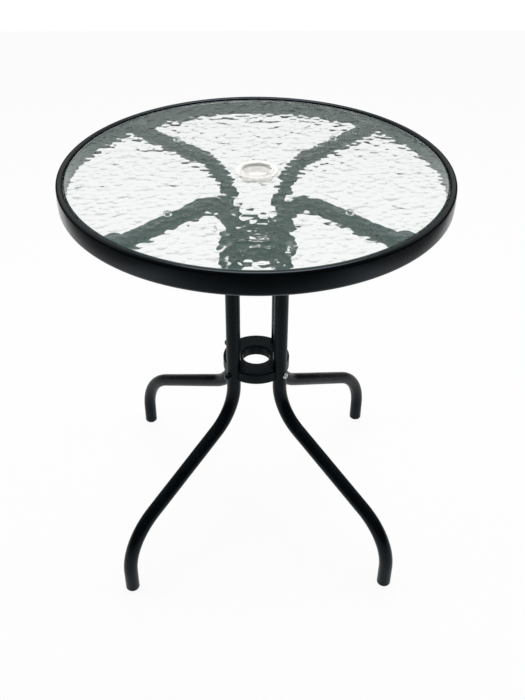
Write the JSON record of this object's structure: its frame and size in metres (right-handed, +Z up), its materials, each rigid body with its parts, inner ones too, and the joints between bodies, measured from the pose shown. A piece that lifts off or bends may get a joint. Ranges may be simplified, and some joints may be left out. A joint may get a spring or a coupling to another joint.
{
  "type": "round glass-top umbrella table",
  "caption": "Small round umbrella table with a pebbled glass top dropped into a steel rim, bent tube legs and pierced hubs for the pole.",
  "frame": {"origin": "on the floor under the centre of the top", "axes": "+Z up along the umbrella pole's axis; legs on the diagonals between X and Y; the front, with the bare bolt head on its right leg, faces -Y"},
  "size_m": [0.6, 0.6, 0.7],
  "materials": {
    "rim_paint": "gloss",
    "leg_paint": "satin",
    "tab_paint": "satin",
    "pebbled_glass": "pebbled",
    "clear_ring": "clear",
    "clear_bumper": "clear",
    "hub_plastic": "satin",
    "glide_plastic": "satin",
    "cover_plastic": "gloss",
    "bright_steel": "bright zinc"
  },
  "bodies": {
    "base": {"rim": "rim_paint", "hub": "hub_plastic", "upper_hub": "hub_plastic", "front_left_leg": "leg_paint", "front_right_leg": "leg_paint", "rear_right_leg": "leg_paint", "rear_left_leg": "leg_paint", "front_left_foot_glide": "glide_plastic", "front_right_foot_glide": "glide_plastic", "rear_right_foot_glide": "glide_plastic", "rear_left_foot_glide": "glide_plastic", "front_left_bumper": "clear_bumper", "front_right_bumper": "clear_bumper", "rear_right_bumper": "clear_bumper", "rear_left_bumper": "clear_bumper", "front_left_rim_tab": "tab_paint", "front_right_rim_tab": "tab_paint", "rear_right_rim_tab": "tab_paint", "rear_left_rim_tab": "tab_paint", "front_left_bolt_cover": "cover_plastic", "rear_right_bolt_cover": "cover_plastic", "rear_left_bolt_cover": "cover_plastic", "front_left_upper_bolt_cover": "cover_plastic", "front_right_upper_bolt_cover": "cover_plastic", "rear_right_upper_bolt_cover": "cover_plastic", "rear_left_upper_bolt_cover": "cover_plastic", "rim_screws": "bright_steel", "hub_bolts": "bright_steel"},
    "glass": {"glass_top": "pebbled_glass"},
    "ring": {"hole_ring": "clear_ring"}
  },
  "joints": [
    {"name": "glass_lift", "type": "slide", "parent": "base", "child": "glass", "axis": [0, 0, 1], "range_m": [0, 0.05]},
    {"name": "ring_lift", "type": "slide", "parent": "glass", "child": "ring", "axis": [0, 0, 1], "range_m": [0, 0.03]}
  ]
}
